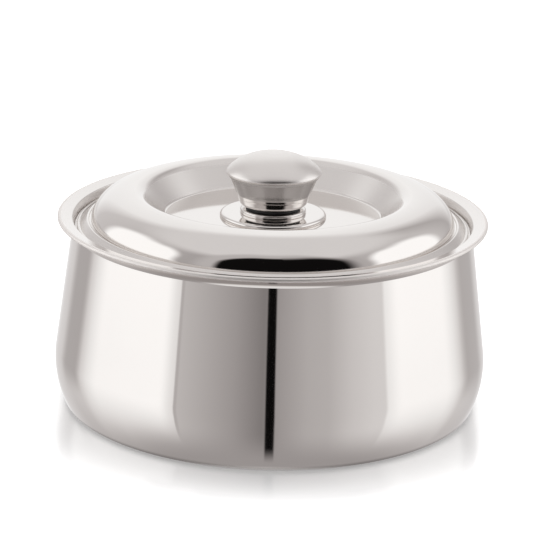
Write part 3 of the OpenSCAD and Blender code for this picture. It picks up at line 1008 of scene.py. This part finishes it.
@dataclass
class Knob:
    """The knob: plate, collar, dark spacer, tapered cup and domed cap."""

    lid: CasseroleLid
    plate_r: float = 29.75 * MM
    plate_t: float = 2.5 * MM
    plate_edge_r: float = 1.9 * MM
    collar_r: float = 18.4 * MM
    collar_h: float = 2.5 * MM
    collar_edge_r: float = 1.2 * MM
    spacer_r: float = 15.2 * MM
    spacer_h: float = 2.0 * MM
    spacer_edge_r: float = 0.2 * MM
    edge_chamfer: float = 0.3 * MM
    cup_bottom_r: float = 18.6 * MM
    cup_turn_r: float = 3.0 * MM
    cup_shoulder_r: float = 20.5 * MM
    cup_shoulder_h: float = 6.5 * MM
    cup_top_r: float = 24.5 * MM
    cup_wall_top: float = 16.0 * MM
    cup_band_h: float = 1.4 * MM
    cup_band_proud: float = 0.6 * MM
    cap_proud: float = 1.3 * MM
    cap_edge_h: float = 1.5 * MM
    cap_rise: float = 11.0 * MM
    dome_fullness: float = 2.2
    dome_shoulder: float = 1.3
    lip_w: float = 2.4 * MM
    sheet_t: float = 0.5 * MM

    def disc(self, radius: float, low: float, height: float, edge_r: float) -> Path:
        """Outline of a ring round the stud.

        Args:
            radius: Its outer radius.
            low: Height of its underside.
            height: Its thickness.
            edge_r: Radius of its upper edge.

        Returns:
            Its points in order.
        """
        hole_r = self.lid.stud_hole_r
        return [point(hole_r, low), point(radius - self.edge_chamfer, low),
                point(radius, low + self.edge_chamfer),
                *rounded(point(radius, low), point(radius, low + height),
                         point(0.0, low + height), edge_r),
                point(hole_r, low + height)]

    @property
    def collar_z(self) -> float:
        """Height of the collar's underside."""
        return self.lid.recess_z + self.plate_t

    @property
    def spacer_z(self) -> float:
        """Height of the spacer's underside."""
        return self.collar_z + self.collar_h

    @property
    def cup_z(self) -> float:
        """Height of the cup's underside."""
        return self.spacer_z + self.spacer_h

    @property
    def lip_z(self) -> float:
        """Height of the cup's upper lip."""
        return self.cup_z + self.cup_wall_top + self.cup_band_h

    @property
    def band_r(self) -> float:
        """Radius of the raised band at the cup's top."""
        return self.cup_top_r + self.cup_band_proud

    def cup_outline(self) -> Path:
        """Outline of the cup: a rounded foot, a steep band above it and a tapered wall.

        Returns:
            Its points in order.
        """
        bottom = point(self.cup_bottom_r, self.cup_z)
        shoulder = point(self.cup_shoulder_r, self.cup_z + self.cup_shoulder_h)
        top = point(self.cup_top_r, self.cup_z + self.cup_wall_top)
        path = [point(self.lid.stud_hole_r, self.cup_z),
                *rounded(point(0.0, self.cup_z), bottom, shoulder, self.cup_turn_r),
                shoulder, top, point(self.band_r, top.y + self.cup_band_proud / 2),
                point(self.band_r, self.lip_z), point(self.band_r - self.lip_w, self.lip_z)]
        return sheet(path, self.sheet_t)

    def cap_outline(self) -> Path:
        """Outline of the cap: a turned-in lip, a rounded edge and a dome with full shoulders.

        Returns:
            Its points in order.
        """
        cap_z = self.lip_z + self.lid.seam_gap
        cap_r = self.band_r + self.cap_proud
        dome_z = cap_z + self.cap_edge_h
        steps = math.ceil(90.0 / ARC_STEP)
        shares = [math.cos(math.radians(90.0 * i / steps)) for i in range(steps)] + [0.0]
        dome = [point(cap_r * s, dome_z + self.cap_rise
                      * (1 - s ** self.dome_fullness) ** (1 / self.dome_shoulder)) for s in shares]
        path = [point(self.band_r - self.lip_w, cap_z),
                *rounded(point(0.0, cap_z), point(cap_r, cap_z), point(cap_r, dome_z),
                         self.cap_edge_h / 1.5),
                *dome]
        return sheet(path, self.sheet_t)

    def pieces(self) -> list[TurnedPiece]:
        """The knob's visible pieces, from the bottom to the top.

        Returns:
            The pieces, ready to turn.
        """
        plate = self.disc(self.plate_r, self.lid.recess_z, self.plate_t, self.plate_edge_r)
        collar = self.disc(self.collar_r, self.collar_z, self.collar_h, self.collar_edge_r)
        spacer = self.disc(self.spacer_r, self.spacer_z, self.spacer_h, self.spacer_edge_r)
        return [TurnedPiece(name, outline, finish, Body.LID, slot, node)
                for name, outline, finish, slot, node in (
                    ("seat_plate", plate, Finish.SEAT, Slot.POLISHED, "knob_plate"),
                    ("seat_collar", collar, Finish.SEAT, Slot.POLISHED, "knob_collar"),
                    ("groove_spacer", spacer, Finish.PLASTIC, Slot.PLASTIC, "knob_spacer"),
                    ("tapered_cup", self.cup_outline(), Finish.CUP, Slot.KNOB, "knob_cup"),
                    ("domed_cap", self.cap_outline(), Finish.CAP, Slot.SATIN, "knob_cap"))]


# ---- Studio ----

# A foot below every direction, so that nothing of the panel fades.
NO_FADE = (-91.0, -90.0)


@dataclass(frozen=True)
class Panel:
    """A soft-edged patch of the surround that the steel mirrors.

    Attributes:
        sides: Its two sides, in degrees round from the front, to the right when positive.
        ends: Its bottom and top, in degrees above the floor.
        edges: Width of the soft edge on its left half and on its right half.
        level: Its brightness.
        corner: Radius of its corners, at least half of either edge.
        foot: Elevations between which its lower end fades in.
    """

    sides: tuple[float, float]
    ends: tuple[float, float]
    edges: tuple[float, float]
    level: float
    corner: float = 6.0
    foot: tuple[float, float] = NO_FADE


# Brightness of the surround by azimuth, below the horizon and above it.
TABLE_STOPS = ((-180.0, 1.10), (-158.0, 0.76), (-131.0, 0.66), (-84.0, 0.80), (-50.0, 0.60),
               (-46.0, 0.57), (-18.0, 0.38), (-3.0, 0.24), (3.0, 0.36), (20.0, 0.50),
               (31.0, 0.53), (44.0, 0.67), (56.0, 0.75), (84.0, 0.82), (120.0, 0.72),
               (150.0, 0.64), (162.0, 0.74), (180.0, 1.10))
ROOM_STOPS = ((-180.0, 1.04), (-160.0, 0.98), (-146.0, 0.66), (-128.0, 0.62), (-56.0, 0.44),
              (52.0, 0.42), (66.0, 0.52), (130.0, 0.62), (148.0, 0.47), (162.0, 0.92),
              (180.0, 1.04))

# Ends past the nadir or the horizon, which the foot or the horizon cuts off.
TO_NADIR = (-95.0, 30.0)
PAST_HORIZON = -40.0

# A soft box on either side below the horizon, with a brighter middle, and dim boards behind them.
LOWER_PANELS = (
    Panel((-115.5, -49.3), TO_NADIR, (12.0, 1.6), 0.90, foot=(-48.0, -12.0)),
    Panel((-108.0, -54.0), TO_NADIR, (16.0, 9.0), 1.20, 9.0, foot=(-40.0, 0.0)),
    Panel((-49.3, -47.6), TO_NADIR, (0.8, 1.2), 0.50, 0.8, foot=(-50.0, -20.0)),
    Panel((63.5, 120.0), TO_NADIR, (2.5, 12.0), 0.98, foot=(-48.0, -12.0)),
    Panel((68.0, 112.0), TO_NADIR, (12.0, 12.0), 1.20, foot=(-40.0, 0.0)),
    Panel((-141.0, -120.0), TO_NADIR, (12.0, 8.0), 0.47, foot=(-26.0, -13.0)),
    Panel((126.0, 150.0), TO_NADIR, (10.0, 10.0), 0.50, foot=(-26.0, -13.0)))

# The narrow dark gap in front, which shows as the dark stripe on the body.
FRONT_GAP = Panel((-1.4, 3.4), TO_NADIR, (1.0, 1.0), 0.004, 0.8, foot=(-65.0, -41.0))

# A black flag in front above the horizon, in a grey frame, and a soft box on either side.
UPPER_PANELS = (
    Panel((-48.0, 52.0), (PAST_HORIZON, 67.0), (12.0, 12.0), 0.54, 30.0),
    Panel((-35.5, 53.0), (PAST_HORIZON, 56.0), (6.0, 12.0), 0.005, 26.0),
    Panel((-126.0, -63.0), (PAST_HORIZON, 41.0), (10.0, 9.0), 1.19, 20.0),
    Panel((67.0, 126.0), (PAST_HORIZON, 40.5), (9.0, 10.0), 1.19, 20.0))


@dataclass
class Studio:
    """Floor, surround, lamp and camera.

    The floor is glossy only near the casserole, and there it glows less to the camera, which paints a
    shadow over its real one: shade_reach and shade_sides are where that ends, by distance from the
    axis and sideways, and floor_glow is what the floor shines with away from it and in it. The fades
    are elevations between which one part of the surround gives way to the next. The pulls say how
    far ahead steep directions are bent.
    """

    camera_from: Vector = field(default_factory=lambda: Vector((0.0, -1.1824, 0.4474)))
    camera_to: Vector = field(default_factory=lambda: Vector((-0.00289, 0.0, 0.07569)))
    camera_roll: float = 1.41
    focal_length: float = 148.6
    sensor_width: float = 36.0
    floor_reach: float = 8.0
    floor_colour: Colour = (0.78, 0.78, 0.78)
    floor_gloss: float = 0.35
    floor_roughness: float = 0.12
    shade_reach: tuple[float, float] = (0.122, 0.18)
    shade_sides: tuple[float, float] = (0.108, 0.125)
    floor_glow: tuple[float, float] = (0.65, 0.34)
    lamp_height: float = 1.5
    lamp_size: float = 1.4
    lamp_power: float = 10.0
    dim_tint: Colour = (1.062, 0.974, 0.966)
    pull_reach: float = 0.477
    pull_slope: float = 0.5
    box_pull: float = 0.55
    table_level: float = 0.37
    table_fade: tuple[float, float] = (-62.0, -22.0)
    underside_level: float = 0.9
    underside_fade: tuple[float, float] = (-75.0, -67.0)
    ceiling_level: float = 0.75
    ceiling_fade: tuple[float, float] = (38.0, 56.0)
    horizon: tuple[float, float] = (-1.2, 1.2)

    def camera(self) -> None:
        """Sets up the camera where the photograph was taken from."""
        lens = bpy.data.cameras.new("studio_camera")
        lens.lens = self.focal_length
        lens.sensor_width = self.sensor_width
        camera = in_scene("studio_camera", lens)
        aimed = (self.camera_to - self.camera_from).to_track_quat("-Z", "Y").to_matrix()
        rolled = aimed @ Matrix.Rotation(math.radians(self.camera_roll), 3, "Z")
        camera.matrix_world = Matrix.Translation(self.camera_from) @ rolled.to_4x4()
        bpy.context.scene.camera = camera

    def floor(self) -> None:
        """Lays a plain pale floor that takes the casserole's shadow and doesn't show in the steel."""
        reach = self.floor_reach
        mesh = bpy.data.meshes.new("studio_floor")
        mesh.from_pydata([(-reach, -reach, 0.0), (reach, -reach, 0.0), (reach, reach, 0.0),
                          (-reach, reach, 0.0)], [], [(0, 1, 2, 3)])
        floor = in_scene("studio_floor", mesh)
        floor.visible_glossy = False
        mesh.materials.append(self._floor_material())

    def _floor_material(self) -> bpy.types.Material:
        """Builds the floor's material, white from above and clear from below.

        Close to the casserole it is glossy, and to the camera it glows less there, a painted shadow
        over the real one.

        Returns:
            The material.
        """
        material, tree, _ = new_material("studio_floor")
        tree.tree.nodes.clear()
        pale = tree.add("ShaderNodeBsdfDiffuse", {"Color": (*self.floor_colour, 1.0)})["BSDF"]
        place = tree.parts(tree.place())
        # Close to the casserole and within its width: glossy there, and glowing less, which is painted
        # shadow.
        near = tree.math(
            "MULTIPLY",
            tree.spread(tree.length(place["X"], place["Y"]), *self.shade_reach, 1.0, 0.0),
            tree.spread(tree.math("ABSOLUTE", place["X"]), *self.shade_sides, 1.0, 0.0))
        seen = tree.add("ShaderNodeLightPath")["Is Camera Ray"]
        glow = tree.add("ShaderNodeEmission", {
            "Strength": tree.math("MULTIPLY", seen, tree.mix(near, *self.floor_glow))})["Emission"]
        lit = tree.add("ShaderNodeAddShader", {0: pale, 1: glow})["Shader"]
        gloss = tree.add("ShaderNodeBsdfAnisotropic", {"Roughness": self.floor_roughness})["BSDF"]
        top = tree.add("ShaderNodeMixShader", {
            "Fac": tree.math("MULTIPLY", near, self.floor_gloss), 1: lit, 2: gloss})["Shader"]
        sided = tree.add("ShaderNodeMixShader", {
            "Fac": tree.add("ShaderNodeNewGeometry")["Backfacing"], 1: top,
            2: tree.add("ShaderNodeBsdfTransparent")["BSDF"]})["Shader"]
        tree.add("ShaderNodeOutputMaterial", {"Surface": sided})
        return material

    def lamp(self) -> None:
        """Hangs one large soft lamp overhead."""
        light = bpy.data.lights.new("overhead_lamp", "AREA")
        light.shape = "DISK"
        light.size = self.lamp_size
        light.energy = self.lamp_power
        lamp = in_scene("overhead_lamp", light)
        lamp.location = (0.0, 0.0, self.lamp_height)
        lamp.visible_glossy = False

    @staticmethod
    def _panel_group() -> bpy.types.NodeTree:
        """Builds a patch with round corners, two soft sides and a lower end that fades in.

        Returns:
            The group, which puts out 1 inside the patch and 0 outside it.
        """
        tree = value_group("surround_panel", (
            "Azimuth", "Elevation", "Left", "Right", "Bottom", "Top", "Left Edge", "Right Edge",
            "Corner", "Foot Low", "Foot High"), ("Mask",))
        given = tree.add("NodeGroupInput")

        def middle_of(low: str, high: str) -> Socket:
            """The middle between two of the inputs."""
            return tree.math("MULTIPLY", tree.math("ADD", given[low], given[high]), 0.5)

        def beyond(value: str, low: str, high: str) -> Socket:
            """How far a direction lies past the straight part of the patch's sides.

            Args:
                value: The input that is the direction.
                low: The input that is one side of the patch.
                high: The input that is its other side.

            Returns:
                The distance, or 0 along the straight part.
            """
            half = tree.math("MULTIPLY", tree.math("SUBTRACT", given[high], given[low]), 0.5)
            off = tree.math("ABSOLUTE", tree.math("SUBTRACT", given[value], middle_of(low, high)))
            straight = tree.math("SUBTRACT", half, given["Corner"])
            return tree.math("MAXIMUM", tree.math("SUBTRACT", off, straight), 0.0)

        out = tree.length(beyond("Azimuth", "Left", "Right"), beyond("Elevation", "Bottom", "Top"))
        past = tree.math("SUBTRACT", out, given["Corner"])
        right_half = tree.math("GREATER_THAN", given["Azimuth"], middle_of("Left", "Right"))
        edge = tree.mix(right_half, given["Left Edge"], given["Right Edge"])
        soft = tree.math("SUBTRACT", 0.5, tree.math("DIVIDE", past, edge), clamp=True)
        fade = tree.spread(given["Elevation"], given["Foot Low"], given["Foot High"])
        tree.add("NodeGroupOutput", {
            "Mask": tree.math("MULTIPLY", tree.spread(soft, 0.0, 1.0), fade)})
        return tree.tree

    @staticmethod
    def _ramp(tree: Tree, azimuth: Socket, stops: tuple[tuple[float, float], ...]) -> Socket:
        """Brightness that changes round the horizon.

        Args:
            tree: The world's tree.
            azimuth: The direction's azimuth.
            stops: Azimuths in order, from -180 to 180, each with its brightness.

        Returns:
            The brightness.
        """
        ramp = tree.tree.nodes.new("ShaderNodeValToRGB")
        elements = ramp.color_ramp.elements
        while len(elements) < len(stops):
            elements.new(0.5)
        for element, (angle, grey) in zip(elements, stops):
            element.position = (angle + 180.0) / 360.0
            element.color = (grey, grey, grey, 1.0)
        tree.fill(ramp, {"Fac": tree.math("DIVIDE", tree.math("ADD", azimuth, 180.0), 360.0)})
        return ramp.outputs["Color"]

    def surround(self) -> None:
        """Lights the scene from all round: white to the camera, studio panels in the steel.

        Below the horizon the panels stand in front of the casserole rather than round it, so
        their edges lean: directions that point steeply down are pulled ahead.
        """
        world = bpy.data.worlds.new("studio_surround")
        bpy.context.scene.world = world
        world.use_nodes = True
        tree = Tree(world.node_tree)
        tree.tree.nodes.clear()
        direction = tree.parts(tree.add("ShaderNodeTexCoord")["Generated"])
        ahead = tree.math("MULTIPLY", direction["Y"], -1.0)
        elevation = tree.math("DEGREES", tree.math("ARCSINE", direction["Z"]))
        level_part = tree.math("SQRT", tree.math(
            "SUBTRACT", 1.0, tree.math("POWER", direction["Z"], 2.0)))
        pull = tree.math("MAXIMUM", 0.0, tree.math(
            "MULTIPLY_ADD", level_part, -self.pull_slope, self.pull_reach))
        patch = self._panel_group()

        def azimuth_of(forward: Socket) -> Socket:
            """The azimuth of a direction that points so far ahead."""
            return tree.math("DEGREES", tree.math("ARCTAN2", direction["X"], forward))

        def hung(azimuth: Socket, level: Socket, panels: tuple[Panel, ...]) -> Socket:
            """The brightness with panels laid over it in turn.

            Args:
                azimuth: The azimuth that the panels are placed by.
                level: The brightness behind them.
                panels: The panels, from the back to the front.

            Returns:
                The brightness.
            """
            for panel in panels:
                mask = tree.group(patch, azimuth, elevation, *panel.sides, *panel.ends,
                                  *panel.edges, panel.corner, *panel.foot)["Mask"]
                level = tree.mix(mask, level, panel.level)
            return level

        straight = azimuth_of(ahead)
        eased = azimuth_of(tree.math("MULTIPLY_ADD", pull, self.box_pull, ahead))
        bent = azimuth_of(tree.math("ADD", ahead, pull))
        table = tree.mix(tree.spread(elevation, *self.table_fade, 1.0, 0.0),
                         self._ramp(tree, bent, TABLE_STOPS), self.table_level)
        lower = tree.mix(tree.spread(elevation, *self.underside_fade, 1.0, 0.0),
                         hung(bent, hung(eased, table, LOWER_PANELS), (FRONT_GAP,)),
                         self.underside_level)
        room = tree.mix(tree.spread(elevation, *self.ceiling_fade),
                        self._ramp(tree, straight, ROOM_STOPS), self.ceiling_level)
        level = tree.mix(tree.spread(elevation, *self.horizon), lower,
                         hung(straight, room, UPPER_PANELS))
        seen = tree.add("ShaderNodeLightPath")["Is Camera Ray"]
        strength = tree.mix(seen, level, 1.0)
        light = tree.add("ShaderNodeBackground", {
            "Color": tree.mixed_colour(strength, self.dim_tint, (1.0, 1.0, 1.0)),
            "Strength": strength})["Background"]
        tree.add("ShaderNodeOutputWorld", {"Surface": light})

    def build(self) -> None:
        """Sets up the whole studio."""
        bpy.context.scene.view_settings.view_transform = "Standard"
        self.camera()
        self.floor()
        self.lamp()
        self.surround()
        LOG.info("studio ready")


def main() -> None:
    """Builds the casserole and its studio."""
    logging.basicConfig(level=logging.INFO, format="%(name)s: %(message)s")
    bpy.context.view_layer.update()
    Studio().build()
    workshop = Workshop()
    body = CasseroleBody()
    lid = CasseroleLid(body)
    for piece in [*body.pieces(), *lid.pieces(), *Knob(lid).pieces()]:
        workshop.turn(piece)
    workshop.dress()


if __name__ == "__main__":
    main()
